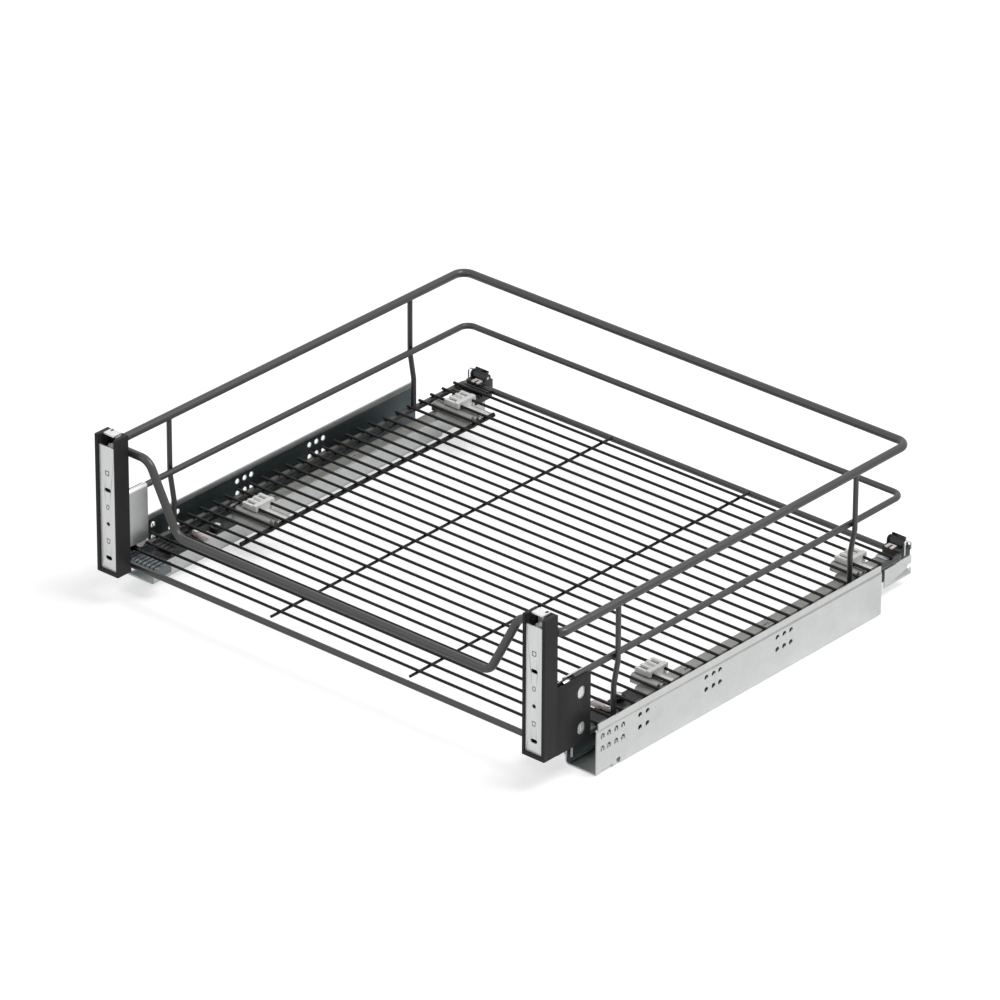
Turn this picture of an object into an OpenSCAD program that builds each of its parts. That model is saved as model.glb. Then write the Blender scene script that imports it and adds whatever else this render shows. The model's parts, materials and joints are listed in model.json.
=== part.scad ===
// Pull-out wire drawer on two undermount runners, closed, for a 600 mm kitchen base unit.
// +Z is up and the drawer opens towards -Y. The origin lies on the cabinet floor, midway in width and depth.
// A depth place d is the distance in front of the back rails' centre line, and fwd(d) is its y.
// Pieces in pairs are drawn for the right-hand side (+X) and mirrored, but clips and saddles are the same on both sides.

/* [Drawer] */
// Overall width across the two cabinet rails
unit_w = 568; // [500:1:968]
// Depth from the back rails' centre line to the front of the brackets
depth = 501.6; // [490:0.1:560]
// How far the drawer slides out
travel = 400; // [300:1:420]

/* [Basket wires] */
// Diameter of the top rail and the front rail
top_wire_d = 8; // [6:0.1:9]
// Height of the top rail's centre
top_z = 150; // [130:1:260]
// Top rail's centre, in from the cabinet rail's outer face
top_inset = 15; // [14:0.1:18]
// Bend radius of the top rail's corners
top_bend = 12; // [8:0.5:20]
// Height of the front rail's low stretch
dip_z = 83.3; // [60:0.1:100]
// Half the width of the dip at its top
dip_top_half = 222; // [180:1:225]
// Sideways run of each slanted leg of the dip
dip_run = 35; // [20:1:60]
// Bend radius in the dip
dip_bend = 15; // [10:0.5:18]
// Diameter of the middle rail
mid_wire_d = 6; // [4:0.1:7]
// Height of the middle rail's centre
mid_z = 95.7; // [90:0.1:105]
// Diameter of the base frame's wire
base_wire_d = 6; // [5:0.1:7]
// Height of the base frame's centre
base_z = 33.6; // [33:0.1:36]
// Base frame's side bars, in from the cabinet rail's outer face
base_inset = 19.5; // [18.5:0.1:21]
// Bend radius of the middle rail and the base frame
low_bend = 10; // [7:0.5:16]
// Diameter of the struts
strut_d = 5; // [4:0.1:5.5]
// Diameter of the floor wires and of the thin bars under them
floor_wire_d = 2.8; // [2:0.1:3.4]
// Distance from one floor wire to the next
floor_pitch = 16.5; // [12:0.1:30]
// How far a floor wire stands out past the middle of the side bar
floor_tip = 6.5; // [3.5:0.1:8]
// Diameter of the thick floor bar
thick_bar_d = 4.5; // [3:0.1:5]

/* [Runners] */
// Distance of the runner's middle, in from the cabinet rail's outer face
runner_inset = 35.25; // [35:0.05:41]
// Height of the screw-on plate
plate_h = 50; // [46:0.5:60]
// Sheet thickness of the cabinet rail
cabinet_t = 1.5; // [1:0.1:1.8]
// Width of the drawer rail
drawer_w = 17; // [16:0.1:19]
// Height of the drawer rail's top face
drawer_top = 27.7; // [26.5:0.1:28]
// Height of the drawer rail's lower edges
drawer_low = 10.1; // [9:0.1:11]
// Sheet thickness of the drawer rail
drawer_t = 1.2; // [1:0.1:1.4]
// Sheet thickness of the middle rail
middle_t = 1; // [0.8:0.1:1.2]
// Diameter of the rollers between the middle rail and the drawer rail
roller_d = 3; // [2.6:0.1:3.3]
// Distance from one roller to the next
roller_pitch = 20; // [10:1:40]
// Diameter of the screw holes in the cabinet rail
screw_hole_d = 5.2; // [4:0.1:6]

/* [Front brackets] */
// Width of the bracket housing
housing_w = 25.7; // [22:0.1:27]
// Depth of the bracket housing
housing_depth = 17.2; // [14:0.1:20]
// Height of the bracket housing's lower end
housing_low = 29.8; // [20:0.1:32]
// Height of the bracket housing
housing_h = 139.9; // [132:0.1:180]
// Thickness of the zinc-plated front plate
front_plate_t = 1.5; // [1:0.1:2]
// Distance between the front plate's two slots
slot_spacing = 69.2; // [60:0.1:80]
// Length of the front plate's slots
slot_len = 7.5; // [5:0.1:9]
// Width of the slots, and diameter of the round hole between them
slot_w = 4; // [3:0.1:4.5]
// Width of the holes in the bracket arm
arm_hole_d = 10.5; // [6:0.1:11]
// How much taller than wide those holes are
arm_hole_tall = 2; // [0.5:0.1:3]

/* [Locks and clamps] */
// Diameter of the height wheel
wheel_d = 13; // [10:0.1:15]
// Thickness of the height wheel
wheel_t = 3.6; // [3:0.1:3.8]
// Length of the release lever from its pin
lever_len = 17.5; // [14:0.1:20]
// Length of the basket clip along the runner
clip_len = 25; // [22:0.1:28]
// Length of the flap lever from its pin
flap_len = 6.5; // [5:0.1:7]

/* [Hidden] */
$fn = 48;

// Overrun of every cut, clearance of snug pieces in one body, and of a roller on each of its tracks
over = 1;
fit = 0.1;
run_gap = 0.05;
// Clearance of a pin in its hole on the radius, of a roller in its pocket, and of a part that swings past another
pin_gap = 0.08;
pocket_gap = 0.2;
swing_gap = 0.4;
tiny_share = 0.000001;
// A bend is this much thicker than its wire, and the straights run into it by a share of its radius
bend_swell = 0.02;
lap_share = 0.03;

// Depth places. The rear bracket's end and the housing's front are the part's two ends.
tail_over = 15;
mid_d = (depth - tail_over) / 2;
function fwd(d) = mid_d - d;
housing_d = depth - housing_depth;
runner_setback = 35.4;
cabinet_d = housing_d - runner_setback;
cabinet_back_d = 52.5;

// Width places
half_w = unit_w / 2;
top_x = half_w - top_inset;
base_x = half_w - base_inset;
mid_x = top_x - strut_d / 2 - mid_wire_d / 2;
runner_x = half_w - runner_inset;

// Top rail and front rail, one wire that is joined behind the brackets
front_rail_d = housing_d - top_wire_d / 2;
front_corner_bend = 6;
loop_joint_back = 22;

// Base frame
front_bar_gap = 3.1;
front_bar_d = housing_d - front_bar_gap - base_wire_d / 2;
rear_bar_over = 2.7;

// Struts, straight down from the top rail and joggled onto the side bar
strut_front_back = 80.4;
strut_rear_d = 75;
joggle_high_under = 4;
joggle_low_over = 32.4;
joggle_high = mid_z - joggle_high_under;
joggle_low = base_z + joggle_low_over;

// Floor wires lie on the side bars, and the bars that cross them hang under them
floor_z = base_z + base_wire_d / 2 + floor_wire_d / 2;
floor_front = 23.9;
first_wire_d = housing_d - floor_front;
last_wire_d = 15;
wire_n = floor((first_wire_d - last_wire_d) / floor_pitch + run_gap) + 1;
function wire_at(i) = first_wire_d - i * floor_pitch;
short_wire = 3;
rear_tip = 2.4;
rear_tip_n = 7;
thin_bar_x = 83.6;
thin_bar_z = floor_z - floor_wire_d;
thin_bar_back = 14.9;
thick_bar_in = 49.75;
thick_bar_x = runner_x - thick_bar_in;
thick_bar_z = floor_z - floor_wire_d / 2 - thick_bar_d / 2;
thick_bar_rear_d = 35;
thick_bar_front_back = 99.4;
edge_wire_in = 11;
edge_wire_x = base_x - edge_wire_in;
edge_wire_rear_d = 111;

// Cabinet rail: plate with a joggled top band, foot and low inner wall
band_h = 5.4;
band_joggle = 1;
band_setback = 3;
groove_h = 0.8;
groove_depth = 0.5;
bend_out_r = 2.5;
wall_bend_r = 4;
nose_r = 9;
hole_low_z = 25.3;
hole_high_z = 37.6;
notch_at = [6, 27];
notch_w = [16, 5];
notch_h = [3.5, 7];
arch_back = [8, 16.5, 26.3, 35.5];
arch_tongue_w = 1.2;
arch_tongue_h = 5.7;
pair_back = [58.5, 68.5];
triple_front_back = [149, 159, 168];
triple_rear_back = [248, 257.6, 267];
hole_columns = concat(pair_back, triple_front_back, triple_rear_back);

// Running fit of the three nested rails
middle_half = drawer_w / 2 - drawer_t - roller_d - 2 * run_gap;
middle_top = drawer_top - drawer_t - roller_d - 2 * run_gap;
low_roller_d = middle_half - middle_t - cabinet_t / 2 - 2 * run_gap;
wall_top = middle_top - middle_t - low_roller_d - 2 * run_gap;
drawer_past = 1;
drawer_d = cabinet_d + drawer_past;
drawer_back_d = 0;
middle_low = 6.8;
middle_short = 2;
middle_d = cabinet_d - middle_short;
middle_back_d = 20;
rail_corner_r = 1.6;
rail_slot_len = 10;
rail_slot_w = 3;
rail_slot_d = [175, 283, 405];

// Cages stay between both of their tracks over the whole travel
cage_t = 0.8;
cage_margin = 4;
cage_d = middle_d - travel / 4 - cage_margin;
low_cage_back_d = max(middle_back_d + travel / 4, cabinet_back_d) + cage_margin;
high_cage_back_d = max(middle_back_d, drawer_back_d + travel / 4) + cage_margin;
cage_end = 6;
high_roller_len = 7;
side_roller_len = 6;
high_cage_low = drawer_low + over;
high_side_z = high_cage_low + 3 * cage_t;
high_side_x = middle_half + run_gap + roller_d / 2;
high_top_z = middle_top + run_gap + roller_d / 2;
low_side_x = cabinet_t / 2 + run_gap + low_roller_d / 2;
low_top_z = wall_top + run_gap + low_roller_d / 2;
low_roller_len = 2 * (low_side_x - cage_t / 2 - pocket_gap);
low_cage_low = middle_low + over;
low_side_z = low_cage_low + 2 * cage_t;

// Rear bracket on the end of the drawer rail
tail_t = 1.2;
tail_out = 16.25;
tail_in = 8;
tail_low = 9.4;
tail_front_d = 24;
tail_top_d = 8;
tail_slot_w = 4.4;
tail_slot_z = 9;
tail_slot_end = 11;
tail_top = drawer_top + tail_t;

// Saddles: a flat round-ended strap across the drawer rail, with a round-shouldered ridge on it.
// Both sides have the same casting. Each reach is given for the left and the right runner, towards -X and +X.
saddle_t = 1.2;
saddle_top = drawer_top + saddle_t;
saddle_rear = 8;
saddle_front = 29;
saddle_reach = [[1.25, 45.75], [11.75, 30.25]];
saddle_span = reach_span(saddle_reach);
ridge_rear = 4.2;
ridge_front = 17.2;
ridge_h = 7;
ridge_r = 4;
ridge_reach = [[9.25, 39.75], [21.75, 8.75]];
ridge_span = reach_span(ridge_reach);
ridge_pin_d = 6.4;
ridge_pin_len = 3;
ridge_bore_d = 4;

// Basket clips, each on two floor wires
clip_front_index = 9;
clip_rear_index = wire_n - 2;
clip_in = 20.25;
clip_low_x = runner_x - clip_in;
clip_w = 17.5;
clip_roof = 1.2;
clip_groove = fit;
clip_rib_w = 3;
clip_rib_h = 0.9;
clip_rib_len = 11;
clip_slot_in = 1.5;
clip_slot_edge = 0.6;
clip_bar_w = 5;
clip_bar_h = 1.6;
clip_stem_front = 4;
clip_stem_rear = 11;
clip_arm_len = [26, 14];
clip_arm_front = 3;
clip_arm_rear = 8;
clip_arm_h = 3;
clip_arm_low = 1.2;
clip_arm_pin_len = 0.9;
function clip_d(i) = wire_at(i) + floor_pitch / 2;
function reach_span(reach) =
    [[-runner_x - reach[0][0], -runner_x + reach[0][1]], [runner_x - reach[1][0], runner_x + reach[1][1]]];

// Lock on the drawer rail's front: base, steel tongue, height wheel and release lever
lock_base_t = 2.2;
lock_base_in = 12.25;
lock_base_out = 7.75;
lock_base_rear = 99;
tongue_gap = 0.4;
tongue_back = drawer_d + tongue_gap;
tongue_len = 19;
tongue_in = 24.25;
tongue_low = 23;
tongue_top = 33;
bridge_rear = 22;
bridge_len = 11;
bridge_in = 11.75;
bridge_top = 35.5;
comb_pitch = 5.2;
comb_gap = 1.6;
comb_depth = 3;
lock_low = drawer_top + lock_base_t;
lock_play = 0.3;
wheel_behind_lever = 19.5;
wheel_teeth = 20;
wheel_tooth_r = 0.6;
wheel_in = 7;
lever_back = 58;
lever_in = 0.75;
lever_w = 9;
lever_paddle_w = 12;
lever_t = 3.2;
lever_hub_d = 10;
lock_pin_d = 4;
lock_head_d = 7;
lock_head_t = 0.8;
wheel_x = runner_x - wheel_in;
lever_x = runner_x - lever_in;
lever_at_d = cabinet_d - lever_back;
wheel_at_d = lever_at_d - wheel_behind_lever;

// Rear clamp round the base frame's corner, with a flap lever between two ears. The left one has a ribbed foot in front.
clamp_w = 19;
clamp_out_of_runner = 4.75;
clamp_x = runner_x + clamp_out_of_runner;
clamp_in = clamp_x - clamp_w / 2;
clamp_out = clamp_x + clamp_w / 2;
clamp_front = 2;
clamp_rear = 15;
clamp_roof = 1.6;
clamp_top = base_z + base_wire_d / 2 + clamp_roof;
foot_in = 13;
foot_out = 2;
foot_front = 24;
foot_gap = 0.3;
foot_top = floor_z - floor_wire_d / 2 - foot_gap;
foot_rib_pitch = 4;
foot_rib_n = 5;
foot_rib_gap = 1.8;
foot_rib_h = 2.2;
ear_t = 1.6;
ear_r = 4;
flap_pin_d = 2.5;
flap_pin_over = 8;
flap_hub_d = 5.6;
flap_pin_z = clamp_top + flap_hub_d / 2 + swing_gap;
flap_t = 2.6;
flap_root = (flap_hub_d + flap_pin_d) / 4;
flap_lean = 25;
insert_w = 9;
insert_in = 2;
insert_slot_w = 3;
insert_bridge = 1.2;
insert_h = 1.4;
insert_depth = 6.6;
insert_sunk = 0.6;
insert_proud = 0.8;
bail_d = 1.6;
bail_out = 2.2;
bail_bend = 1.7;
bail_high = 47;
bail_rear_high = 42.5;
bail_front = -4;
bail_front_z = 32;
bail_rear_z = 35;

// Brackets: the housing's outer face is flush with the arm's
arm_t = 1.2;
inner_t = 0.8;
arm_in = max(base_x + base_wire_d / 2, mid_x + mid_wire_d / 2 + 2 * fit + inner_t);
housing_out = arm_in + arm_t;
housing_in = housing_out - housing_w;
housing_wall = 2.5;
housing_outer_wall = 3.7;
housing_back_t = 2;
housing_lip = 4.2;
housing_ledge = 1.4;
housing_top = housing_low + housing_h;
plate_recess = 1.6;
plate_low = housing_low + housing_lip;
plate_len = 125.5;
plate_in = housing_in + housing_wall;
plate_out = housing_out - housing_outer_wall;
plate_mid_x = (plate_in + plate_out) / 2;
plate_mid_over = 46.9;
plate_mid_z = plate_low + plate_mid_over;
plate_back_d = depth - plate_recess - front_plate_t;
mark_h = 0.3;
mark_inside = 0.68;
mark_shares = [-0.25, 0.25, 0.75];
mark_lines = [
    [[-2.3, 2.5], [-1.6, -2.5], [1.6, -2.5], [2.3, 2.5]],
    [[-1.2, 2.4], [-2, 0], [-1.2, -2.4], [1.2, -2.4], [2, 0], [1.2, 2.4]],
    [[-2.4, 2.5], [-2.4, -2.5], [1.4, -2.5], [2.4, -1.5], [2.4, 2.5]]
];
arm_len = 44.5;
arm_low = housing_low;
arm_top = 96.5;
arm_hole_back = 32.6;
arm_hole_z = [44.2, 79.6];
arm_corner = 3;

// Galvanised inner plate, rolled round the middle rail's end
roll_in_r = mid_wire_d / 2 + fit;
roll_out_r = roll_in_r + inner_t;
inner_x = mid_x - roll_out_r;
inner_low = 43;
inner_len = 41;
inner_roll_len = 25;
mid_end_back = 26;
adjuster_d = 14;
adjuster_slot_w = 1.2;
adjuster_slot_depth = 0.8;
adjuster_slot_len = 6;

// Lock block, screw and hook plate in the housing's open top
hook_block_w = 14;
hook_block_h = 10;
hook_block_low = 24;
hook_t = 1.5;
hook_over = 1.3;
hook_top = housing_top + hook_over;
hook_tongue_w = 7;
hook_in = 6.25;
hook_out = 6.75;
hook_front = 12.4;
hook_notch_w = 3;
hook_notch_back = 2.6;
hook_notch_in = 2.6;
screw_d = 4;
screw_head_d = 7;
screw_head_h = 3.5;
screw_len = 24;
screw_slot_w = 1;
screw_slot_len = 5;
screw_back = 8.6;

// Directions, and a child moved from the X, Y and Z axes onto three given ones
function unit(v) = v / norm(v);
module onto(p, x, y) {
    z = cross(x, y);
    multmatrix([[x[0], y[0], z[0], p[0]], [x[1], y[1], z[1], p[1]], [x[2], y[2], z[2], p[2]], [0, 0, 0, 1]])
        children();
}

// Straight round rod from one point to another
module rod(from, to, rod_d) {
    z = unit(to - from);
    side = cross([0, 0, 1], z);
    x = norm(side) > tiny_share ? unit(side) : [1, 0, 0];
    onto(from, x, cross(z, x)) cylinder(h = norm(to - from), d = rod_d);
}

// Round wire through a list of points, with one bend radius or a list of them
function heading(pts, i) = unit(pts[(i + 1) % len(pts)] - pts[i % len(pts)]);
function turn(pts, i) = acos(heading(pts, i + len(pts) - 1) * heading(pts, i));
function is_bent(pts, i, closed) = closed || (i % len(pts) > 0 && i % len(pts) < len(pts) - 1);
function bend_at(bend, i) = is_list(bend) ? bend[i % len(bend)] : bend;
function trim(pts, i, bend, closed) =
    is_bent(pts, i, closed) ? bend_at(bend, i) * (tan(turn(pts, i % len(pts)) / 2) - lap_share) : 0;
module wire(pts, bend, wire_d, closed = false) {
    n = len(pts);
    for (i = [0 : n - (closed ? 1 : 2)]) {
        along = heading(pts, i);
        rod(pts[i] + along * trim(pts, i, bend, closed), pts[(i + 1) % n] - along * trim(pts, i + 1, bend, closed), wire_d);
    }
    for (i = [0 : n - 1])
        if (is_bent(pts, i, closed)) elbow(pts, i, bend_at(bend, i), wire_d);
}
module elbow(pts, i, bend, wire_d) {
    u = heading(pts, i + len(pts) - 1);
    v = heading(pts, i);
    inward = unit(v - u * (u * v));
    start = pts[i] - u * bend * tan(turn(pts, i) / 2);
    onto(start + inward * bend, -inward, u)
        rotate_extrude(angle = turn(pts, i)) translate([bend, 0]) circle(d = wire_d + 2 * bend_swell);
}

// A flat outline in x and z, run along the depth, and one in x and y, raised
module along(back, front) {
    translate([0, fwd(back), 0]) rotate([90, 0, 0]) linear_extrude(height = front - back) children();
}
module block(x0, x1, back, front, z0, z1) {
    translate([x0, fwd(front), z0]) cube([x1 - x0, front - back, z1 - z0]);
}
module across(x0, x1, d, z, pin_d) {
    translate([x0, fwd(d), z]) rotate([0, 90, 0]) cylinder(h = x1 - x0, d = pin_d);
}
module upright(x, d, z0, z1, pin_d) {
    translate([x, fwd(d), z0]) cylinder(h = z1 - z0, d = pin_d);
}
module left() {
    mirror([1, 0, 0]) children();
}
module both() {
    children();
    left() children();
}

// Cabinet rail
module trough(shrink) {
    x0 = runner_x - cabinet_t / 2 + shrink;
    x1 = half_w - shrink;
    r0 = wall_bend_r - shrink;
    r1 = bend_out_r - shrink;
    top = wall_top + shrink;
    translate([x0 + r0, shrink]) square([x1 - r1 - x0 - r0, top - shrink]);
    translate([x0, shrink + r0]) square([r0 + over, top - shrink - r0]);
    translate([x1 - r1 - over, shrink + r1]) square([r1 + over, top - shrink - r1]);
    translate([x0 + r0, shrink + r0]) circle(r = r0);
    translate([x1 - r1, shrink + r1]) circle(r = r1);
}
module plate_outline() {
    band_z = plate_h - band_h;
    difference() {
        trough(0);
        trough(cabinet_t);
    }
    polygon([
        [half_w, wall_top - over], [half_w, band_z - band_joggle - groove_h],
        [half_w - groove_depth, band_z - band_joggle - groove_h / 2], [half_w, band_z - band_joggle],
        [half_w - band_joggle, band_z], [half_w - band_joggle, plate_h], [half_w - band_joggle - cabinet_t, plate_h],
        [half_w - band_joggle - cabinet_t, band_z], [half_w - cabinet_t, band_z - band_joggle],
        [half_w - cabinet_t, wall_top - over]
    ]);
}
module arch_hole(d, z) {
    translate([half_w - cabinet_t - over, fwd(d), z]) rotate([90, 0, 90]) linear_extrude(height = cabinet_t + 2 * over)
        difference() {
            union() {
                circle(d = screw_hole_d);
                translate([-screw_hole_d / 2, -screw_hole_d / 2]) square([screw_hole_d, screw_hole_d / 2]);
            }
            translate([-arch_tongue_w / 2, -screw_hole_d]) square([arch_tongue_w, arch_tongue_h]);
        }
}
module cabinet_rail() {
    color("lightgray") difference() {
        along(cabinet_back_d, cabinet_d) plate_outline();
        for (z = [hole_low_z, hole_high_z]) {
            for (back = hole_columns)
                across(half_w - cabinet_t - over, half_w + over, cabinet_d - back, z, screw_hole_d);
            for (back = arch_back) arch_hole(cabinet_d - back, z);
        }
        for (i = [0, 1])
            block(half_w - cabinet_t - over, half_w + over, cabinet_d - notch_at[i] - notch_w[i],
                cabinet_d - notch_at[i], -over, notch_h[i]);
        block(half_w - band_joggle - cabinet_t - over, half_w + over, cabinet_d - band_setback,
            cabinet_d + over, plate_h - band_h, plate_h + over);
        difference() {
            block(runner_x - cabinet_t, runner_x + cabinet_t, cabinet_d - nose_r, cabinet_d + over,
                wall_top - nose_r, wall_top + over);
            across(runner_x - cabinet_t * 2, runner_x + cabinet_t * 2, cabinet_d - nose_r, wall_top - nose_r, nose_r * 2);
        }
    }
}

// Rails of the runner: upside-down channels with rounded shoulders
module channel(half, low, top, t) {
    difference() {
        union() {
            translate([runner_x - half, low]) square([half * 2, top - low - rail_corner_r]);
            translate([runner_x - half + rail_corner_r, low]) square([(half - rail_corner_r) * 2, top - low]);
            for (side = [-1, 1])
                translate([runner_x + side * (half - rail_corner_r), top - rail_corner_r]) circle(r = rail_corner_r);
        }
        translate([runner_x - half + t, low - over]) square([(half - t) * 2, top - low - t + over]);
    }
}
module middle_rail() {
    color("silver") along(middle_back_d, middle_d) channel(middle_half, middle_low, middle_top, middle_t);
}
module drawer_rail() {
    color("silver") difference() {
        along(drawer_back_d, drawer_d) channel(drawer_w / 2, drawer_low, drawer_top, drawer_t);
        for (d = rail_slot_d)
            block(runner_x - rail_slot_w / 2, runner_x + rail_slot_w / 2, d - rail_slot_len / 2, d + rail_slot_len / 2,
                drawer_top - drawer_t - over, drawer_top + over);
    }
}

// Roller cages: rows of rollers above a rail's top and beside its two walls
function row_of(back, front) = [for (d = [back + cage_end : roller_pitch : front - cage_end]) d];
module roller_rows(back, front, side_x, top_z0, side_z, d0, top_len, side_len) {
    for (d = row_of(back, front)) {
        across(runner_x - top_len / 2, runner_x + top_len / 2, d, top_z0, d0);
        for (side = [-1, 1]) upright(runner_x + side * side_x, d, side_z, side_z + side_len, d0);
    }
}
module cage(back, front, side_x, low, top_z0, side_z, d0, top_len, side_len) {
    out = side_x + cage_t / 2;
    room = d0 + 2 * pocket_gap;
    difference() {
        along(back, front) difference() {
            translate([runner_x - out, low]) square([out * 2, top_z0 + cage_t / 2 - low]);
            translate([runner_x - out + cage_t, low - over]) square([(out - cage_t) * 2, top_z0 - cage_t / 2 - low + over]);
        }
        for (d = row_of(back, front)) {
            block(runner_x - top_len / 2 - pocket_gap, runner_x + top_len / 2 + pocket_gap, d - room / 2, d + room / 2,
                top_z0 - cage_t, top_z0 + cage_t);
            for (side = [-1, 1])
                block(runner_x + side * side_x - cage_t, runner_x + side * side_x + cage_t, d - room / 2, d + room / 2,
                    side_z - pocket_gap, side_z + side_len + pocket_gap);
        }
    }
}
module upper_cage() {
    color("ivory") cage(high_cage_back_d, cage_d, high_side_x, high_cage_low, high_top_z, high_side_z,
        roller_d, high_roller_len, side_roller_len);
}
module upper_rollers() {
    color("white") roller_rows(high_cage_back_d, cage_d, high_side_x, high_top_z, high_side_z,
        roller_d, high_roller_len, side_roller_len);
}
module lower_cage() {
    color("ivory") cage(low_cage_back_d, cage_d, low_side_x, low_cage_low, low_top_z, low_side_z,
        low_roller_d, low_roller_len, side_roller_len);
}
module lower_rollers() {
    color("white") roller_rows(low_cage_back_d, cage_d, low_side_x, low_top_z, low_side_z,
        low_roller_d, low_roller_len, side_roller_len);
}

// Rear bracket
module rear_bracket() {
    color("gainsboro") difference() {
        union() {
            block(runner_x - tail_in, runner_x + tail_out, -tail_over, tail_top_d, drawer_top, tail_top);
            block(runner_x + tail_out - tail_t, runner_x + tail_out, -tail_over, tail_front_d, tail_low, drawer_top);
        }
        across(runner_x + tail_out - tail_t - over, runner_x + tail_out + over, -tail_slot_end,
            tail_low + tail_slot_z, tail_slot_w);
        block(runner_x + tail_out - tail_t - over, runner_x + tail_out + over, -tail_over - over, -tail_slot_end,
            tail_low + tail_slot_z - tail_slot_w / 2, tail_low + tail_slot_z + tail_slot_w / 2);
    }
}

// Saddles
module ridge_outline() {
    low = -ridge_front;
    translate([low, drawer_top]) square([ridge_front - ridge_rear, saddle_top + ridge_h - ridge_r - drawer_top]);
    translate([low + ridge_r, drawer_top]) square([ridge_front - ridge_rear - 2 * ridge_r, saddle_top + ridge_h - drawer_top]);
    for (y = [low + ridge_r, -ridge_rear - ridge_r]) translate([y, saddle_top + ridge_h - ridge_r]) circle(r = ridge_r);
}
module saddle(d, side) {
    strap = saddle_span[side];
    ridge = ridge_span[side];
    r = (saddle_front - saddle_rear) / 2;
    mid = d + (ridge_rear + ridge_front) / 2;
    translate([0, fwd(d + saddle_rear + r), drawer_top]) linear_extrude(height = saddle_t) {
        for (x = [strap[0] + r, strap[1] - r]) translate([x, 0]) circle(r = r);
        translate([strap[0] + r, -r]) square([strap[1] - strap[0] - 2 * r, 2 * r]);
    }
    translate([ridge[0], fwd(d), 0]) rotate([90, 0, 90]) linear_extrude(height = ridge[1] - ridge[0]) ridge_outline();
    difference() {
        across(ridge[1] - over, ridge[1] + ridge_pin_len, mid, saddle_top + ridge_h / 2, ridge_pin_d);
        across(ridge[1], ridge[1] + ridge_pin_len + over, mid, saddle_top + ridge_h / 2, ridge_bore_d);
    }
}
module saddles() {
    color("darkgray") difference() {
        for (i = [clip_front_index, clip_rear_index]) for (side = [0, 1]) saddle(clip_d(i), side);
        edge_rod(floor_wire_d + 2 * fit, over);
    }
}

// Basket clips: a stem on the drawer rail, a ribbed roof over two floor wires, a bar, and an arm to the next bar
module clip(i, side) {
    d = clip_d(i);
    x0 = side == 0 ? -clip_low_x - clip_w : clip_low_x;
    x1 = x0 + clip_w;
    roof = floor_z + floor_wire_d / 2;
    back = d - clip_len / 2;
    arm_end = x1 + clip_arm_len[side];
    color("whitesmoke") difference() {
        union() {
            block(x0, x1, d - clip_stem_rear, d + clip_stem_front, drawer_top, roof);
            block(x0, x1, back, back + clip_len, roof - floor_wire_d, roof + clip_roof);
            for (k = [0 : 3])
                block(x0, x0 + clip_rib_len, back + k * (clip_len - clip_rib_w) / 3,
                    back + k * (clip_len - clip_rib_w) / 3 + clip_rib_w, roof, roof + clip_roof + clip_rib_h);
            block(x1 - clip_bar_w, x1, back, back + clip_len, roof, roof + clip_roof + clip_bar_h);
            block(x1 - over, arm_end, d - clip_arm_rear, d + clip_arm_front, saddle_top + clip_arm_low,
                saddle_top + clip_arm_low + clip_arm_h);
            across(arm_end - over, arm_end + clip_arm_pin_len, d - (clip_arm_rear - clip_arm_front) / 2,
                saddle_top + clip_arm_low + clip_arm_h / 2, clip_arm_h);
        }
        for (k = [0 : 2])
            block(x0 + clip_slot_in, x0 + clip_rib_len, back + k * (clip_len - clip_rib_w) / 3 + clip_rib_w + clip_slot_edge,
                back + (k + 1) * (clip_len - clip_rib_w) / 3 - clip_slot_edge, roof - floor_wire_d, roof + clip_roof + over);
        for (k = [-1, 0])
            across(x0 - over, x1 + over, wire_at(i + k), floor_z, floor_wire_d + 2 * clip_groove);
    }
}

// Lock at the drawer rail's front
module comb(x0, x1, back, front, z0, z1) {
    difference() {
        block(x0, x1, back, front, z0, z1);
        for (x = [x0 + comb_pitch - comb_gap : comb_pitch : x1 - comb_gap])
            block(x, x + comb_gap, back - over, front + over, z1 - comb_depth, z1 + over);
    }
}
module lock_base() {
    color("dimgray") difference() {
        union() {
            block(runner_x - lock_base_in, runner_x + lock_base_out, cabinet_d - lock_base_rear, tongue_back, drawer_top, lock_low);
            comb(runner_x - bridge_in, runner_x + lock_base_out, cabinet_d - bridge_rear, cabinet_d - bridge_rear + bridge_len,
                drawer_top, bridge_top);
        }
        upright(wheel_x, wheel_at_d, drawer_top - over, lock_low + over, lock_pin_d + 2 * pin_gap);
        upright(lever_x, lever_at_d, drawer_top - over, lock_low + over, lock_pin_d + 2 * pin_gap);
    }
}
module lock_tongue() {
    color("gray") comb(runner_x - tongue_in, runner_x + lock_base_out, tongue_back, tongue_back + tongue_len,
        tongue_low, tongue_top);
}
module lock_pin(x, d, t) {
    top = lock_low + t + 2 * lock_play;
    upright(x, d, drawer_top, top + lock_head_t, lock_pin_d);
    upright(x, d, top, top + lock_head_t, lock_head_d);
}
module lock_pins() {
    color("silver") both() {
        lock_pin(wheel_x, wheel_at_d, wheel_t);
        lock_pin(lever_x, lever_at_d, lever_t);
    }
}
module height_wheel() {
    z0 = lock_low + lock_play;
    color("black") difference() {
        upright(wheel_x, wheel_at_d, z0, z0 + wheel_t, wheel_d);
        upright(wheel_x, wheel_at_d, z0 - over, z0 + wheel_t + over, lock_pin_d + 2 * pin_gap);
        for (k = [0 : wheel_teeth - 1])
            translate([wheel_x, fwd(wheel_at_d), z0 - over]) rotate(k * 360 / wheel_teeth) translate([wheel_d / 2, 0, 0])
                cylinder(h = wheel_t + 2 * over, r = wheel_tooth_r);
    }
}
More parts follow.
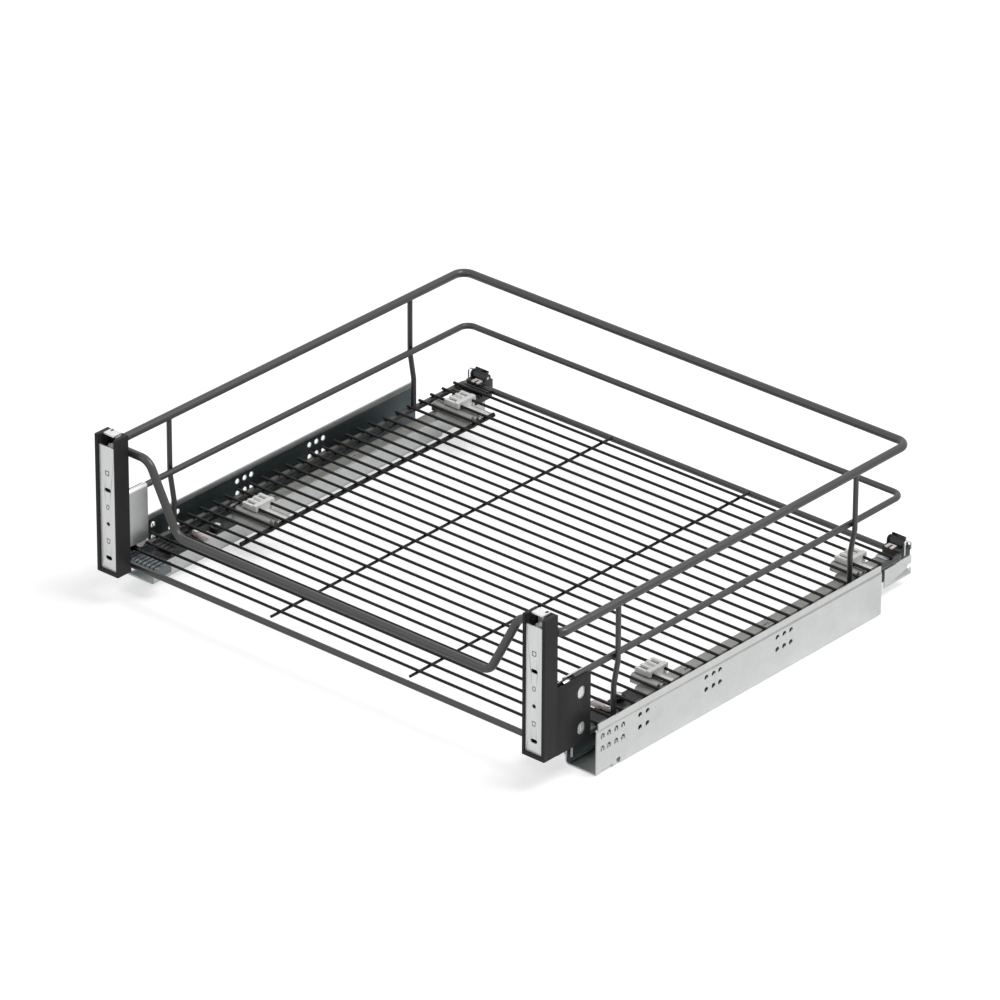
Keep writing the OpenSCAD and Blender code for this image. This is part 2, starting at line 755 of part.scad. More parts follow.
module release_lever() {
    z0 = lock_low + lock_play;
    color("mistyrose") difference() {
        union() {
            upright(lever_x, lever_at_d, z0, z0 + lever_t, lever_hub_d);
            block(lever_x - lever_len, lever_x, lever_at_d - lever_w / 2, lever_at_d + lever_w / 2, z0, z0 + lever_t);
            block(lever_x - lever_len, lever_x - lever_len / 3, lever_at_d - lever_paddle_w / 2,
                lever_at_d + lever_paddle_w / 2, z0, z0 + lever_t);
        }
        upright(lever_x, lever_at_d, z0 - over, z0 + lever_t + over, lock_pin_d + 2 * pin_gap);
    }
}

// Rear clamp
module base_wire(wire_d) {
    wire([
        [-base_x, fwd(front_bar_d), base_z], [base_x, fwd(front_bar_d), base_z],
        [base_x, fwd(-rear_bar_over), base_z], [-base_x, fwd(-rear_bar_over), base_z]
    ], low_bend, wire_d, closed = true);
}
module ear(x0) {
    across(x0, x0 + ear_t, -flap_pin_over, flap_pin_z, ear_r * 2);
    block(x0, x0 + ear_t, -flap_pin_over - ear_r, -flap_pin_over + ear_r, clamp_top - over, flap_pin_z);
}
module clamp_foot() {
    x0 = clamp_in - foot_in;
    x1 = clamp_out - foot_out;
    difference() {
        block(x0, x1, clamp_front - over, foot_front, tail_top, foot_top);
        for (k = [0 : foot_rib_n - 1])
            block(x0 - over, x1 + over, clamp_front + over + k * foot_rib_pitch, clamp_front + over + k * foot_rib_pitch + foot_rib_gap,
                foot_top - foot_rib_h, foot_top + over);
    }
}
module clamp(has_foot) {
    insert_x = clamp_x - insert_w / 2 - insert_in;
    color("black") difference() {
        union() {
            block(clamp_in, clamp_out, -clamp_rear, clamp_front, tail_top, clamp_top);
            if (has_foot) clamp_foot();
            ear(clamp_in);
            ear(clamp_out - ear_t);
        }
        base_wire(base_wire_d + 2 * fit);
        across(clamp_in - over, clamp_out + over, -flap_pin_over, flap_pin_z, flap_pin_d);
        block(insert_x, insert_x + insert_w, clamp_front - insert_depth, clamp_front + over,
            clamp_top - insert_sunk, clamp_top + over);
    }
}
module clamp_inserts() {
    insert_x = clamp_x - insert_w / 2 - insert_in;
    color("mistyrose") both() difference() {
        block(insert_x, insert_x + insert_w, clamp_front - insert_depth, clamp_front + insert_proud,
            clamp_top - insert_sunk, clamp_top - insert_sunk + insert_h);
        block(insert_x + (insert_w - insert_slot_w) / 2, insert_x + (insert_w + insert_slot_w) / 2,
            clamp_front - insert_depth + insert_bridge, clamp_front + insert_proud + over,
            clamp_top - insert_sunk - over, clamp_top + insert_h);
    }
}
module clamp_pins() {
    color("silver") both() across(clamp_in, clamp_out, -flap_pin_over, flap_pin_z, flap_pin_d);
}
module clamp_flap() {
    x0 = clamp_in + ear_t + swing_gap;
    x1 = clamp_out - ear_t - swing_gap;
    color("black") difference() {
        union() {
            across(x0, x1, -flap_pin_over, flap_pin_z, flap_hub_d);
            translate([x0, fwd(-flap_pin_over), flap_pin_z]) rotate([-flap_lean, 0, 0])
                translate([0, -flap_t / 2, flap_root]) cube([x1 - x0, flap_t, flap_len - flap_root]);
        }
        across(x0 - over, x1 + over, -flap_pin_over, flap_pin_z, flap_pin_d + 2 * pin_gap);
    }
}
module clamp_bails() {
    x1 = clamp_out + bail_out;
    color("silver") both() wire([
        [clamp_out, fwd(bail_front), bail_front_z], [x1, fwd(bail_front), bail_front_z],
        [x1, fwd(bail_front), bail_high], [x1, fwd(-clamp_rear + bail_d), bail_rear_high],
        [x1, fwd(-clamp_rear + bail_d), bail_rear_z], [clamp_out, fwd(-clamp_rear + bail_d), bail_rear_z]
    ], bail_bend, bail_d);
}

// Basket rails
module top_rail() {
    color("dimgray") wire([
        [-top_x, fwd(front_rail_d - loop_joint_back), top_z], [-top_x, fwd(0), top_z],
        [top_x, fwd(0), top_z], [top_x, fwd(front_rail_d - loop_joint_back), top_z]
    ], top_bend, top_wire_d);
}
module front_rail() {
    y = fwd(front_rail_d);
    low_half = dip_top_half - dip_run;
    color("dimgray") wire([
        [-top_x, fwd(front_rail_d - loop_joint_back), top_z], [-top_x, y, top_z], [-dip_top_half, y, top_z],
        [-low_half, y, dip_z], [low_half, y, dip_z],
        [dip_top_half, y, top_z], [top_x, y, top_z], [top_x, fwd(front_rail_d - loop_joint_back), top_z]
    ], [0, front_corner_bend, dip_bend, dip_bend, dip_bend, dip_bend, front_corner_bend, 0], top_wire_d);
}
module mid_rail() {
    end_d = housing_d - mid_end_back;
    color("dimgray") wire([
        [-mid_x, fwd(end_d), mid_z], [-mid_x, fwd(0), mid_z], [mid_x, fwd(0), mid_z], [mid_x, fwd(end_d), mid_z]
    ], low_bend, mid_wire_d);
}
module base_frame() {
    color("dimgray") base_wire(base_wire_d);
}
module strut(d) {
    y = fwd(d);
    difference() {
        wire([[top_x, y, top_z], [top_x, y, joggle_high], [base_x, y, joggle_low], [base_x, y, base_z]],
            strut_d * 2, strut_d);
        rod([top_x, y - strut_d, top_z], [top_x, y + strut_d, top_z], top_wire_d);
        rod([base_x, y - strut_d, base_z], [base_x, y + strut_d, base_z], base_wire_d);
    }
}
module struts() {
    color("dimgray") both() for (d = [strut_rear_d, housing_d - strut_front_back]) strut(d);
}

// Basket floor
module floor_wires() {
    color("dimgray") for (i = [0 : wire_n - 1]) {
        d = wire_at(i);
        tip = i < wire_n - rear_tip_n ? floor_tip : rear_tip;
        reach = d > housing_d - arm_len - floor_wire_d ? base_x + base_wire_d / 2 - fit : base_x + tip;
        rod([i == short_wire ? -edge_wire_x - floor_wire_d / 2 : -reach, fwd(d), floor_z], [reach, fwd(d), floor_z], floor_wire_d);
    }
}
module thick_bar() {
    color("dimgray")
        rod([-thick_bar_x, fwd(thick_bar_rear_d), thick_bar_z],
            [-thick_bar_x, fwd(housing_d - thick_bar_front_back), thick_bar_z], thick_bar_d);
}
module thin_bars() {
    color("dimgray") both() difference() {
        rod([thin_bar_x, fwd(-rear_bar_over), thin_bar_z], [thin_bar_x, fwd(housing_d - thin_bar_back), thin_bar_z], floor_wire_d);
        rod([thin_bar_x - floor_wire_d, fwd(-rear_bar_over), base_z],
            [thin_bar_x + floor_wire_d, fwd(-rear_bar_over), base_z], base_wire_d);
    }
}
module edge_rod(wire_d, more) {
    rod([-edge_wire_x, fwd(edge_wire_rear_d - more), thin_bar_z],
        [-edge_wire_x, fwd(wire_at(short_wire) + more), thin_bar_z], wire_d);
}
module edge_wire() {
    color("dimgray") edge_rod(floor_wire_d, 0);
}

// Front brackets
module housing() {
    color("black") difference() {
        block(housing_in, housing_out, housing_d, depth, housing_low, housing_top);
        block(plate_in, plate_out, plate_back_d, depth + over, plate_low, housing_top + over);
        block(plate_in + housing_ledge, plate_out - housing_ledge, housing_d + housing_back_t, plate_back_d + over,
            plate_low + housing_ledge, housing_top + over);
    }
}
module front_plate() {
    front = plate_back_d + front_plate_t;
    color("whitesmoke") difference() {
        union() {
            block(plate_in + fit, plate_out - fit, plate_back_d, front, plate_low, plate_low + plate_len);
            for (i = [0 : len(mark_shares) - 1])
                translate([plate_mid_x, fwd(front - front_plate_t / 2), plate_mid_z + mark_shares[i] * slot_spacing])
                    rotate([90, 0, 0]) linear_extrude(height = front_plate_t / 2 + mark_h) difference() {
                        polygon(mark_lines[i]);
                        polygon([for (at = mark_lines[i]) at * mark_inside]);
                    }
        }
        for (side = [-1, 1]) {
            z = plate_mid_z + side * slot_spacing / 2;
            half = (slot_len - slot_w) / 2;
            for (x = [-half, half]) through_front(plate_mid_x + x, z);
            block(plate_mid_x - half, plate_mid_x + half, plate_back_d - over, front + over, z - slot_w / 2, z + slot_w / 2);
        }
        through_front(plate_mid_x, plate_mid_z);
    }
}
module through_front(x, z) {
    translate([x, fwd(plate_back_d - over), z]) rotate([90, 0, 0]) cylinder(h = front_plate_t + 2 * over, d = slot_w);
}
module lock_hooks() {
    z0 = housing_top - hook_block_low;
    back = housing_d + housing_back_t;
    notch_x = plate_mid_x + hook_notch_in;
    color("silver") both() difference() {
        union() {
            block(plate_mid_x - hook_block_w / 2, plate_mid_x + hook_block_w / 2, back, plate_back_d, z0, z0 + hook_block_h);
            block(plate_mid_x - hook_in, plate_mid_x - hook_in + hook_tongue_w, back, back + hook_t, z0, hook_top);
            block(plate_mid_x - hook_in, plate_mid_x + hook_out, back, housing_d + hook_front, hook_top - hook_t, hook_top);
        }
        upright(plate_mid_x, housing_d + screw_back, z0 - over, z0 + hook_block_h + over, screw_d + 2 * fit);
        upright(notch_x + hook_notch_w / 2, back + hook_notch_back, hook_top - hook_t - over, hook_top + over, hook_notch_w);
        block(notch_x, notch_x + hook_notch_w, back - over, back + hook_notch_back, hook_top - hook_t - over, hook_top + over);
    }
}
module lock_screws() {
    z1 = housing_top - hook_block_low + hook_block_h + screw_head_h;
    color("gold") both() difference() {
        union() {
            upright(plate_mid_x, housing_d + screw_back, z1 - screw_len, z1, screw_d);
            upright(plate_mid_x, housing_d + screw_back, z1 - screw_head_h, z1, screw_head_d);
        }
        for (turned = [0, 90])
            translate([plate_mid_x, fwd(housing_d + screw_back), z1]) rotate(turned)
                cube([screw_slot_len, screw_slot_w, screw_head_h], center = true);
    }
}
module arm() {
    back = housing_d - arm_len;
    color("black") difference() {
        translate([arm_in, 0, 0]) rotate([90, 0, 90]) linear_extrude(height = arm_t) union() {
            translate([fwd(housing_d), arm_low]) square([arm_len - arm_corner, arm_top - arm_low]);
            translate([fwd(housing_d), arm_low + arm_corner]) square([arm_len, arm_top - arm_low - 2 * arm_corner]);
            for (z = [arm_low + arm_corner, arm_top - arm_corner])
                translate([fwd(back) - arm_corner, z]) circle(r = arm_corner);
        }
        for (z = arm_hole_z) {
            d = housing_d - arm_hole_back;
            for (side = [-1, 1]) across(arm_in - over, housing_out + over, d, z + side * arm_hole_tall / 2, arm_hole_d);
            block(arm_in - over, housing_out + over, d - arm_hole_d / 2, d + arm_hole_d / 2,
                z - arm_hole_tall / 2, z + arm_hole_tall / 2);
        }
    }
}
module inner_plate() {
    back = housing_d - inner_len;
    color("gainsboro") {
        block(inner_x, inner_x + inner_t, back, housing_d, inner_low, mid_z);
        block(inner_x, arm_in, housing_d - inner_t, housing_d, inner_low, mid_z - roll_out_r);
        along(back, back + inner_roll_len) translate([mid_x, mid_z]) difference() {
            circle(r = roll_out_r);
            circle(r = roll_in_r);
            translate([0, -roll_out_r * 2]) square([roll_out_r * 2, roll_out_r * 4]);
        }
    }
}
module arm_adjusters() {
    d = housing_d - arm_hole_back;
    color("silver") both() for (z = arm_hole_z) difference() {
        across(inner_x + inner_t, arm_in, d, z, adjuster_d);
        block(arm_in - adjuster_slot_depth, arm_in + over, d - adjuster_slot_w / 2, d + adjuster_slot_w / 2,
            z - adjuster_slot_len / 2, z + adjuster_slot_len / 2);
    }
}

left() cabinet_rail();  // cabinet_rail_left
cabinet_rail();  // cabinet_rail_right
left() middle_rail();  // middle_rail_left
middle_rail();  // middle_rail_right
left() lower_cage();  // lower_cage_left
lower_cage();  // lower_cage_right
left() lower_rollers();  // lower_rollers_left
lower_rollers();  // lower_rollers_right
left() upper_cage();  // upper_cage_left
upper_cage();  // upper_cage_right
left() upper_rollers();  // upper_rollers_left
upper_rollers();  // upper_rollers_right
left() drawer_rail();  // drawer_rail_left
drawer_rail();  // drawer_rail_right
left() rear_bracket();  // rear_bracket_left
rear_bracket();  // rear_bracket_right
saddles();
clip(clip_front_index, 0);  // clip_front_left
clip(clip_front_index, 1);  // clip_front_right
clip(clip_rear_index, 0);  // clip_rear_left
clip(clip_rear_index, 1);  // clip_rear_right
left() lock_base();  // lock_base_left
lock_base();  // lock_base_right
left() lock_tongue();  // lock_tongue_left
lock_tongue();  // lock_tongue_right
lock_pins();
left() release_lever();  // release_lever_left
release_lever();  // release_lever_right
left() height_wheel();  // height_wheel_left
height_wheel();  // height_wheel_right
left() clamp(true);  // clamp_left
clamp(false);  // clamp_right
clamp_inserts();
clamp_pins();
clamp_bails();
left() clamp_flap();  // clamp_flap_left
clamp_flap();  // clamp_flap_right
top_rail();
front_rail();
mid_rail();
base_frame();
struts();
floor_wires();
thick_bar();
thin_bars();
edge_wire();
left() housing();  // housing_left
housing();  // housing_right
left() front_plate();  // front_plate_left
front_plate();  // front_plate_right
lock_hooks();
lock_screws();
left() arm();  // arm_left
arm();  // arm_right
left() inner_plate();  // inner_plate_left
inner_plate();  // inner_plate_right
arm_adjusters();
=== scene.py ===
"""A wire pull-out drawer on galvanised undermount runners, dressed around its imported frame.

Every length is in metres unless its name says mm.
"""
import json
import math

import bmesh
import bpy
from mathutils import Matrix, Vector


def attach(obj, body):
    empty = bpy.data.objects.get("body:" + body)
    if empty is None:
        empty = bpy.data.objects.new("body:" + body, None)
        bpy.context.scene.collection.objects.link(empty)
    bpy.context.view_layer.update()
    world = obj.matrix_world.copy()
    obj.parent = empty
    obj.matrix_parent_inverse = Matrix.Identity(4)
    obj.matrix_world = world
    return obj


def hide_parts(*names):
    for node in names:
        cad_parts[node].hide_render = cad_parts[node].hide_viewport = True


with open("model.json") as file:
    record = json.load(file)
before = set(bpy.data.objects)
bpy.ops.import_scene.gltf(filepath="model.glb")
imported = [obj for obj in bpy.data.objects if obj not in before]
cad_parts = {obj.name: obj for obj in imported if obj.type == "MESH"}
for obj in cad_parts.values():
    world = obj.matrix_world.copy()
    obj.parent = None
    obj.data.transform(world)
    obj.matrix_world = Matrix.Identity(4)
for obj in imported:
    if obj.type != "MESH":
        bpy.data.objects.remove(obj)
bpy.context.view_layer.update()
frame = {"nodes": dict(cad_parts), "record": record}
MM = 0.001


# Colour and nodes

def linear(code):
    """An sRGB hex colour as the linear colour that a shader takes."""
    parts = [int(code[i:i + 2], 16) / 255 for i in (1, 3, 5)]
    return tuple(p / 12.92 if p <= 0.04045 else ((p + 0.055) / 1.055) ** 2.4 for p in parts) + (1.0,)


def add(tree, kind, inputs=None, **settings):
    """A node with its settings, and its inputs as values or as sockets to link from."""
    node = tree.nodes.new(kind)
    for name, value in settings.items():
        setattr(node, name, value)
    for name, value in (inputs or {}).items():
        if isinstance(value, bpy.types.NodeSocket):
            tree.links.new(value, node.inputs[name])
        else:
            node.inputs[name].default_value = value
    return node


def empty_tree(owner):
    """The node tree of a material or a world, with nothing in it."""
    owner.use_nodes = True
    owner.node_tree.nodes.clear()
    return owner.node_tree


def start_material(name):
    """An empty material, its tree and the object's own coordinates in metres."""
    material = bpy.data.materials.new(name)
    tree = empty_tree(material)
    place = add(tree, "ShaderNodeTexCoord").outputs["Object"]
    return material, tree, place


def end_material(tree, inputs):
    """The surface shader with these inputs, joined to the output."""
    shader = add(tree, "ShaderNodeBsdfPrincipled", inputs)
    add(tree, "ShaderNodeOutputMaterial", {"Surface": shader.outputs["BSDF"]})


def per_mm(size):
    """A texture's scale for features of this size in millimetres."""
    return 1 / (size * MM)


def noise(tree, place, size_mm, detail, roughness=0.5):
    """Noise from 0 to 1 with features of this size."""
    return add(tree, "ShaderNodeTexNoise", {"Vector": place, "Scale": per_mm(size_mm), "Detail": detail,
                                            "Roughness": roughness}).outputs["Fac"]


def stretched(tree, place, scale):
    """Coordinates scaled along each axis. A low scale draws a texture out along that axis."""
    return add(tree, "ShaderNodeMapping", {"Vector": place, "Scale": scale}).outputs["Vector"]


def tinted(tree, share, dark, light):
    """A colour between two hex colours, at this share of the way."""
    # Inputs 6 and 7 and output 2 are the mix node's colours.
    colours = {0: share, 6: linear(dark), 7: linear(light)}
    return add(tree, "ShaderNodeMix", colours, data_type="RGBA").outputs[2]


def between(tree, share, low, high):
    """A number between two limits, at this share of the way."""
    return add(tree, "ShaderNodeMapRange", {"Value": share, "To Min": low, "To Max": high}).outputs["Result"]


def relief(tree, height, strength, depth_mm):
    """A surface normal with fine relief of this depth."""
    return add(tree, "ShaderNodeBump", {"Height": height, "Strength": strength,
                                        "Distance": depth_mm * MM}).outputs["Normal"]


def maths(tree, operation, *values):
    """The result of an operation on numbers or sockets."""
    return add(tree, "ShaderNodeMath", dict(enumerate(values)), operation=operation).outputs["Value"]


# Finishes

# How much of a galvanised sheet's tint comes from its spangles
SPANGLE_SHARE = 0.18


def powder_coated_wire(name, dark, light, mirror):
    """Steel wire in anthracite polyester powder: a satin skin with a fine orange peel."""
    material, tree, place = start_material(name)
    # The real peel is about 0.6 mm across. It is drawn at 1.2 mm so that it shows.
    peel = noise(tree, place, 1.2, 3.0, roughness=0.55)
    drift = noise(tree, place, 60, 2.0)
    end_material(tree, {"Base Color": tinted(tree, drift, dark, light),
                        "Roughness": between(tree, peel, 0.3, 0.42), "IOR": 1.5, "Specular IOR Level": mirror,
                        "Normal": relief(tree, peel, 0.12, 0.1)})
    return material


def galvanised_sheet(name, dark, light, shine):
    """Rolled sheet, hot-dip galvanised and skin-passed: even grey metal with faint drawing lines."""
    material, tree, place = start_material(name)
    cloud = noise(tree, place, 18, 5.0)
    # Spangles are pressed nearly flat, so they only tint the sheet. They are 2.5 mm across.
    spangle = add(tree, "ShaderNodeTexVoronoi", {"Vector": place, "Scale": per_mm(2.5)})
    tint = add(tree, "ShaderNodeSeparateColor", {"Color": spangle.outputs["Color"]})
    # Inputs 2 and 3 and output 0 are the mix node's numbers.
    shares = {0: SPANGLE_SHARE, 2: cloud, 3: tint.outputs["Red"]}
    blend = add(tree, "ShaderNodeMix", shares, data_type="FLOAT").outputs[0]
    # Drawing lines run along the rail, so the noise is stretched along Y.
    line = noise(tree, stretched(tree, place, (1.0, 0.02, 1.0)), 0.8, 2.0)
    end_material(tree, {"Base Color": tinted(tree, blend, dark, light), "Metallic": 1.0,
                        "Roughness": between(tree, line, shine - 0.05, shine + 0.07),
                        "Normal": relief(tree, line, 0.06, 0.04)})
    return material


def black_coated_sheet():
    """Pressed steel in black epoxy: a low sheen over a very fine grain."""
    material, tree, place = start_material("black_epoxy_coat")
    grain = noise(tree, place, 0.7, 2.0)
    drift = noise(tree, place, 30, 3.0)
    end_material(tree, {"Base Color": tinted(tree, drift, "#202021", "#2a2a2b"),
                        "Roughness": between(tree, grain, 0.42, 0.58), "IOR": 1.5, "Specular IOR Level": 0.25,
                        "Normal": relief(tree, grain, 0.1, 0.05)})
    return material


def zinc_plated_sheet():
    """Sheet in bright zinc plate: nearly white, with soft streaks from the bath."""
    material, tree, place = start_material("bright_zinc_plate")
    streak = noise(tree, stretched(tree, place, (1.0, 1.0, 0.2)), 6, 5.0)
    end_material(tree, {"Base Color": tinted(tree, streak, "#eef0f1", "#fdfdfd"), "Metallic": 0.5,
                        "Roughness": between(tree, streak, 0.3, 0.45),
                        "Normal": relief(tree, streak, 0.06, 0.1)})
    return material


def moulded_plastic(name, dark, light, shine):
    """Moulded polyamide or acetal: an even colour with a fine spark-eroded grain."""
    material, tree, place = start_material(name)
    grain = noise(tree, place, 0.5, 2.0)
    drift = noise(tree, place, 9, 2.0)
    end_material(tree, {"Base Color": tinted(tree, drift, dark, light),
                        "Roughness": between(tree, grain, shine - 0.06, shine + 0.06), "IOR": 1.53,
                        "Normal": relief(tree, grain, 0.08, 0.04)})
    return material


def bright_steel():
    """Drawn steel wire and pins: bright metal, a little uneven."""
    material, tree, place = start_material("bright_steel")
    blotch = noise(tree, place, 0.8, 2.0)
    end_material(tree, {"Base Color": tinted(tree, blotch, "#c2c5c7", "#e8eaeb"), "Metallic": 1.0,
                        "Roughness": between(tree, blotch, 0.18, 0.32)})
    return material


FINISH = {
    "powder_coat": powder_coated_wire("anthracite_powder_coat", "#2a2827", "#312f2e", 0.85),
    "galvanised": galvanised_sheet("galvanised_sheet", "#c7c9c9", "#dbdddc", 0.36),
    "black_steel": black_coated_sheet(),
    "zinc_plate": zinc_plated_sheet(),
    "white_plastic": moulded_plastic("white_polyamide", "#e8e8e6", "#f4f4f2", 0.42),
    "cage_plastic": moulded_plastic("natural_acetal", "#dcd9cc", "#e8e5d8", 0.38),
    "pale_plastic": moulded_plastic("pale_polyamide", "#e0d5d1", "#ebe2de", 0.45),
    "black_plastic": moulded_plastic("black_polyamide", "#0f1012", "#18191b", 0.4),
    "bright_steel": bright_steel(),
}
# The thin wires of the floor carry a thinner, darker coat than the rails.
THIN_COAT = powder_coated_wire("anthracite_powder_coat_thin", "#0d0d0d", "#131313", 0.25)
# Painted shade: the faces of the cabinet rails that look into the channel get a darker copy of the sheet,
# standing in for the shade inside the channel.
CHANNEL_SHADE = galvanised_sheet("channel_shade_galvanised_sheet", "#5b686c", "#7c888b", 0.4)
# The straps are die-cast and duller than the sheet around them.
CAST = galvanised_sheet("die_cast_zinc", "#8c8d8b", "#a9aaa7", 0.5)
# Painted shade: a duller, warmer, darker grey on the drawer rails' tops and in the groove under the cabinet
# rails' band, standing in for the shade that falls there.
TOP_AND_GROOVE_SHADE = galvanised_sheet("top_and_groove_shade_galvanised_sheet", "#a3a39f", "#b8b8b3", 0.48)
# Painted shade: the drawer rail's wall that the screw holes show gets a very dark copy of the sheet, standing
# in for the shade deep in the holes.
WALL_SHADE = galvanised_sheet("wall_shade_galvanised_sheet", "#3c4143", "#4b5153", 0.45)
# The lock tongues are plain rolled steel, darker and bluer than the zinc around them.
ROLLED = galvanised_sheet("rolled_steel", "#6c7477", "#868e91", 0.42)
# The inner plates have a brighter zinc coat than the rails.
BRIGHT_ZINC = galvanised_sheet("bright_galvanised_sheet", "#d6d7d7", "#f0f1f1", 0.32)
# The raised marks on the front plates are rubbed, so they look darker than the plate.
RUBBED = moulded_plastic("rubbed_zinc_mark", "#77797b", "#8b8d8f", 0.5)

# Nodes, without their side, whose finish isn't their slot's own
OWN_FINISH = {"floor_wires": THIN_COAT, "thin_bars": THIN_COAT, "thick_bar": THIN_COAT, "edge_wire": THIN_COAT,
              "saddles": CAST, "lock_tongue": ROLLED, "inner_plate": BRIGHT_ZINC}


# Shapes

# How far each kind of piece has its edges broken, in millimetres
EDGE_MM = {"galvanised": 0.25, "black_steel": 0.5, "zinc_plate": 0.2, "white_plastic": 0.35,
           "pale_plastic": 0.3, "black_plastic": 0.35}
# Edges that turn by more than this are broken, and stay sharp in the shading.
SHARP = math.radians(30)
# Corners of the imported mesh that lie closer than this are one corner.
WELD = 0.002 * MM


def stand(name, data):
    """A new object in the scene."""
    thing = bpy.data.objects.new(name, data)
    bpy.context.scene.collection.objects.link(thing)
    return thing


def softened(node, width):
    """A copy of a CAD node with its sharp edges broken, which stands for the node."""
    mesh = frame["nodes"][node].data.copy()
    work = bmesh.new()
    work.from_mesh(mesh)
    bmesh.ops.remove_doubles(work, verts=work.verts, dist=WELD)
    work.to_mesh(mesh)
    work.free()
    piece = stand(node + "_finished", mesh)
    edge = piece.modifiers.new("edge", "BEVEL")
    edge.width = width * MM
    edge.segments = 2
    edge.limit_method = "ANGLE"
    edge.angle_limit = SHARP
    edge.use_clamp_overlap = True
    edge.miter_outer = "MITER_SHARP"
    finished = piece.evaluated_get(bpy.context.evaluated_depsgraph_get())
    rounded = bpy.data.meshes.new_from_object(finished)
    piece.modifiers.clear()
    piece.data = rounded
    return piece


def smooth(mesh):
    """Smooth shading that keeps edges sharper than the limit."""
    mesh.shade_smooth()
    mesh.set_sharp_from_angle(angle=SHARP)


def body_of(node):
    """The body that a CAD node belongs to."""
    return next(name for name, nodes in frame["record"]["behaviour"]["bodies"].items() if node in nodes)


# Second finishes, and painted shade, on some of a piece's faces

# A cabinet rail's sheet, and about the middle of its channel, in millimetres in from its plate's outer face
SHEET_MM, CHANNEL_MM = 1.5, 22
# Where its plate steps in to the band, and the foot of the groove below, in millimetres down from its top
STEP_TOP_MM, STEP_FOOT_MM, GROOVE_FOOT_MM = 5.4, 6.4, 7.5
# How much of a front plate's thickness, from its outermost point, belongs to the marks
MARK_MM = 0.2
# The least part of a face's normal along X in a wall, and along Z in a top or in a groove's flank
WALL, TOP, FLANK = 0.7, 0.5, 0.3


def sides(mesh):
    """The distances from the drawer's middle to the near and the far side of a left or right piece."""
    reach = [abs(vertex.co.x) for vertex in mesh.vertices]
    return min(reach), max(reach)


def outwards(face):
    """How far a face's normal points away from the drawer's middle, from -1 to 1."""
    return face.normal.x * (1 if face.center.x > 0 else -1)


def shade_channel(mesh):
    """Painted shade on the faces of a cabinet rail that look into its channel, and in the groove under its
    band.
    """
    mesh.materials.append(CHANNEL_SHADE)
    mesh.materials.append(TOP_AND_GROOVE_SHADE)
    outer = sides(mesh)[1]
    top = max(vertex.co.z for vertex in mesh.vertices)
    for face in mesh.polygons:
        from_outer, from_top = (outer - abs(face.center.x)) / MM, (top - face.center.z) / MM
        # The plate looks into the channel from outside it, and the low wall from inside it.
        to_channel = -outwards(face) if from_outer < CHANNEL_MM else outwards(face)
        if to_channel > WALL and from_top > STEP_FOOT_MM:
            face.material_index = 1
        elif from_outer < SHEET_MM and STEP_TOP_MM < from_top < GROOVE_FOOT_MM and abs(face.normal.z) > FLANK:
            face.material_index = 2


def shade_rail(mesh):
    """Painted shade on a drawer rail's top, and darker painted shade on the wall that looks at the cabinet
    rail's plate.
    """
    mesh.materials.append(TOP_AND_GROOVE_SHADE)
    mesh.materials.append(WALL_SHADE)
    middle = sum(sides(mesh)) / 2
    for face in mesh.polygons:
        if face.normal.z > TOP:
            face.material_index = 1
        elif outwards(face) > WALL and abs(face.center.x) > middle:
            face.material_index = 2


def rub_marks(mesh):
    """The rubbed finish on the marks that stand proud of a front plate."""
    mesh.materials.append(RUBBED)
    front = min(vertex.co.y for vertex in mesh.vertices)
    for face in mesh.polygons:
        if face.center.y < front + MARK_MM * MM:
            face.material_index = 1


SECOND_FINISH_AND_SHADE = {"cabinet_rail": shade_channel, "drawer_rail": shade_rail, "front_plate": rub_marks}


# Pieces

def dress(node, slot):
    """Give a node its finish, on a copy with broken edges where its slot has an edge width."""
    target = frame["nodes"][node]
    if slot in EDGE_MM:
        target = softened(node, EDGE_MM[slot])
        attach(target, body_of(node))
        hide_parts(node)
        smooth(target.data)
    name = node.removesuffix("_left").removesuffix("_right")
    target.data.materials.clear()
    target.data.materials.append(OWN_FINISH.get(name, FINISH[slot]))
    if name in SECOND_FINISH_AND_SHADE:
        SECOND_FINISH_AND_SHADE[name](target.data)


for row in frame["record"]["subparts"]:
    dress(row["node"], row["material_slot"])


# Floor, light and camera

# The floor lies just under the rails, so that the two share no plane.
FLOOR_Z = -0.5 * MM
FLOOR_REACH = 6.0
# White that the floor adds to itself where it is seen, and where a bright surface mirrors it
FLOOR_LIFT = 0.55
MIRROR_LIFT = 0.25
# The room's light on the drawer, as a share of the white that is seen
ROOM_LIGHT = 0.42
LAMPS_LOOK_AT = (0, 0, 0.05)
# The camera is fitted to the corners of the rails and brackets in the photo.
LENS_MM = 283.753
CAMERA_AT = (4.16192, -4.77805, 3.4066)
CAMERA_LOOKS_AT = (-0.04776, 0.04456, 0.06)
CAMERA_ROLL = 0.241  # degrees
WHITE = (1.0, 1.0, 1.0, 1.0)
FLOOR_GREY = (0.8, 0.8, 0.8, 1.0)


def turn_towards(place, target):
    """The turn of a lamp or camera at a place that makes it face the target."""
    return (Vector(target) - Vector(place)).to_track_quat("-Z", "Y")


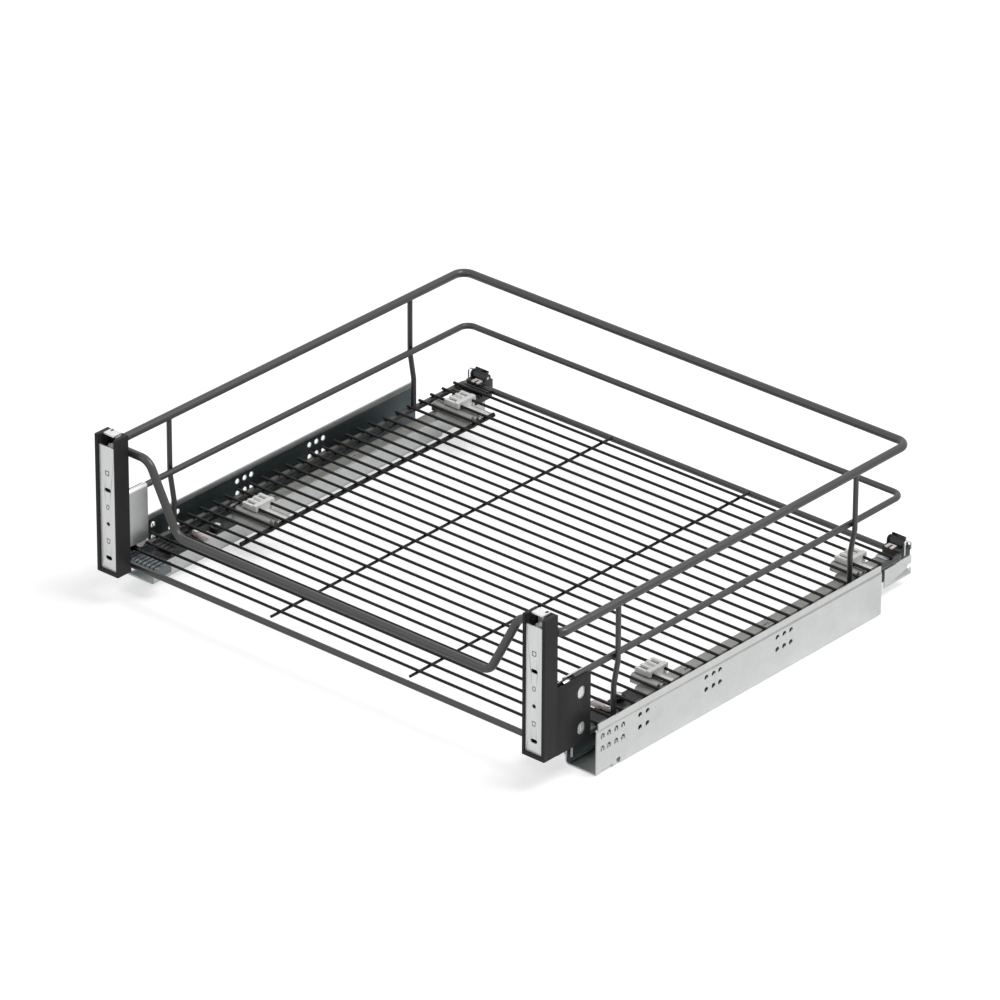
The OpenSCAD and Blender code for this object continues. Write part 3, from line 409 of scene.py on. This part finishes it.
def studio_floor():
    """A wide white floor that keeps the object's shadow."""
    mesh = bpy.data.meshes.new("floor")
    corners = [(x * FLOOR_REACH, y * FLOOR_REACH, FLOOR_Z) for x, y in ((-1, -1), (1, -1), (1, 1), (-1, 1))]
    mesh.from_pydata(corners, [], [(0, 1, 2, 3)])
    floor = stand("floor", mesh)
    material = bpy.data.materials.new("white_floor")
    tree = empty_tree(material)
    shade = add(tree, "ShaderNodeBsdfDiffuse", {"Color": FLOOR_GREY})
    # The lift is only for rays that see the floor, so it puts no soft light on the drawer.
    ray = add(tree, "ShaderNodeLightPath").outputs
    mirrored = maths(tree, "MULTIPLY", ray["Is Glossy Ray"], MIRROR_LIFT)
    strength = maths(tree, "MULTIPLY_ADD", ray["Is Camera Ray"], FLOOR_LIFT, mirrored)
    lift = add(tree, "ShaderNodeEmission", {"Color": WHITE, "Strength": strength})
    both = add(tree, "ShaderNodeAddShader", {0: shade.outputs["BSDF"], 1: lift.outputs["Emission"]})
    add(tree, "ShaderNodeOutputMaterial", {"Surface": both.outputs["Shader"]})
    mesh.materials.append(material)


def studio_world():
    """An even pale room, and plain white where it is seen, mirrored or looked through."""
    world = bpy.data.worlds.new("room")
    bpy.context.scene.world = world
    tree = empty_tree(world)
    ray = add(tree, "ShaderNodeLightPath").outputs
    seen = maths(tree, "MAXIMUM", ray["Is Camera Ray"], ray["Is Glossy Ray"])
    seen_or_through = maths(tree, "MAXIMUM", seen, ray["Is Transmission Ray"])
    strength = between(tree, seen_or_through, ROOM_LIGHT, 1.0)
    back = add(tree, "ShaderNodeBackground", {"Color": WHITE, "Strength": strength})
    add(tree, "ShaderNodeOutputWorld", {"Surface": back.outputs["Background"]})


def soft_lamp(name, place, size, watts):
    """A square lamp that faces the middle of the drawer."""
    data = bpy.data.lights.new(name, "AREA")
    data.shape = "SQUARE"
    data.size = size
    data.energy = watts
    lamp = stand(name, data)
    lamp.location = place
    lamp.rotation_euler = turn_towards(place, LAMPS_LOOK_AT).to_euler()


def photo_camera():
    """The photograph's viewpoint: a long lens, from the right and above."""
    data = bpy.data.cameras.new("camera")
    data.sensor_width = 36.0
    data.lens = LENS_MM
    data.clip_end = 50.0
    camera = stand("camera", data)
    roll = Matrix.Rotation(math.radians(CAMERA_ROLL), 3, "Z")
    turn = turn_towards(CAMERA_AT, CAMERA_LOOKS_AT).to_matrix() @ roll
    camera.matrix_world = Matrix.Translation(CAMERA_AT) @ turn.to_4x4()
    bpy.context.scene.camera = camera


studio_floor()
studio_world()
soft_lamp("key", place=(1.2, 0.6, 2.6), size=1.4, watts=40)
soft_lamp("fill", place=(-1.4, -2.4, 1.6), size=2.0, watts=4)
photo_camera()
bpy.context.scene.view_settings.view_transform = "Standard"
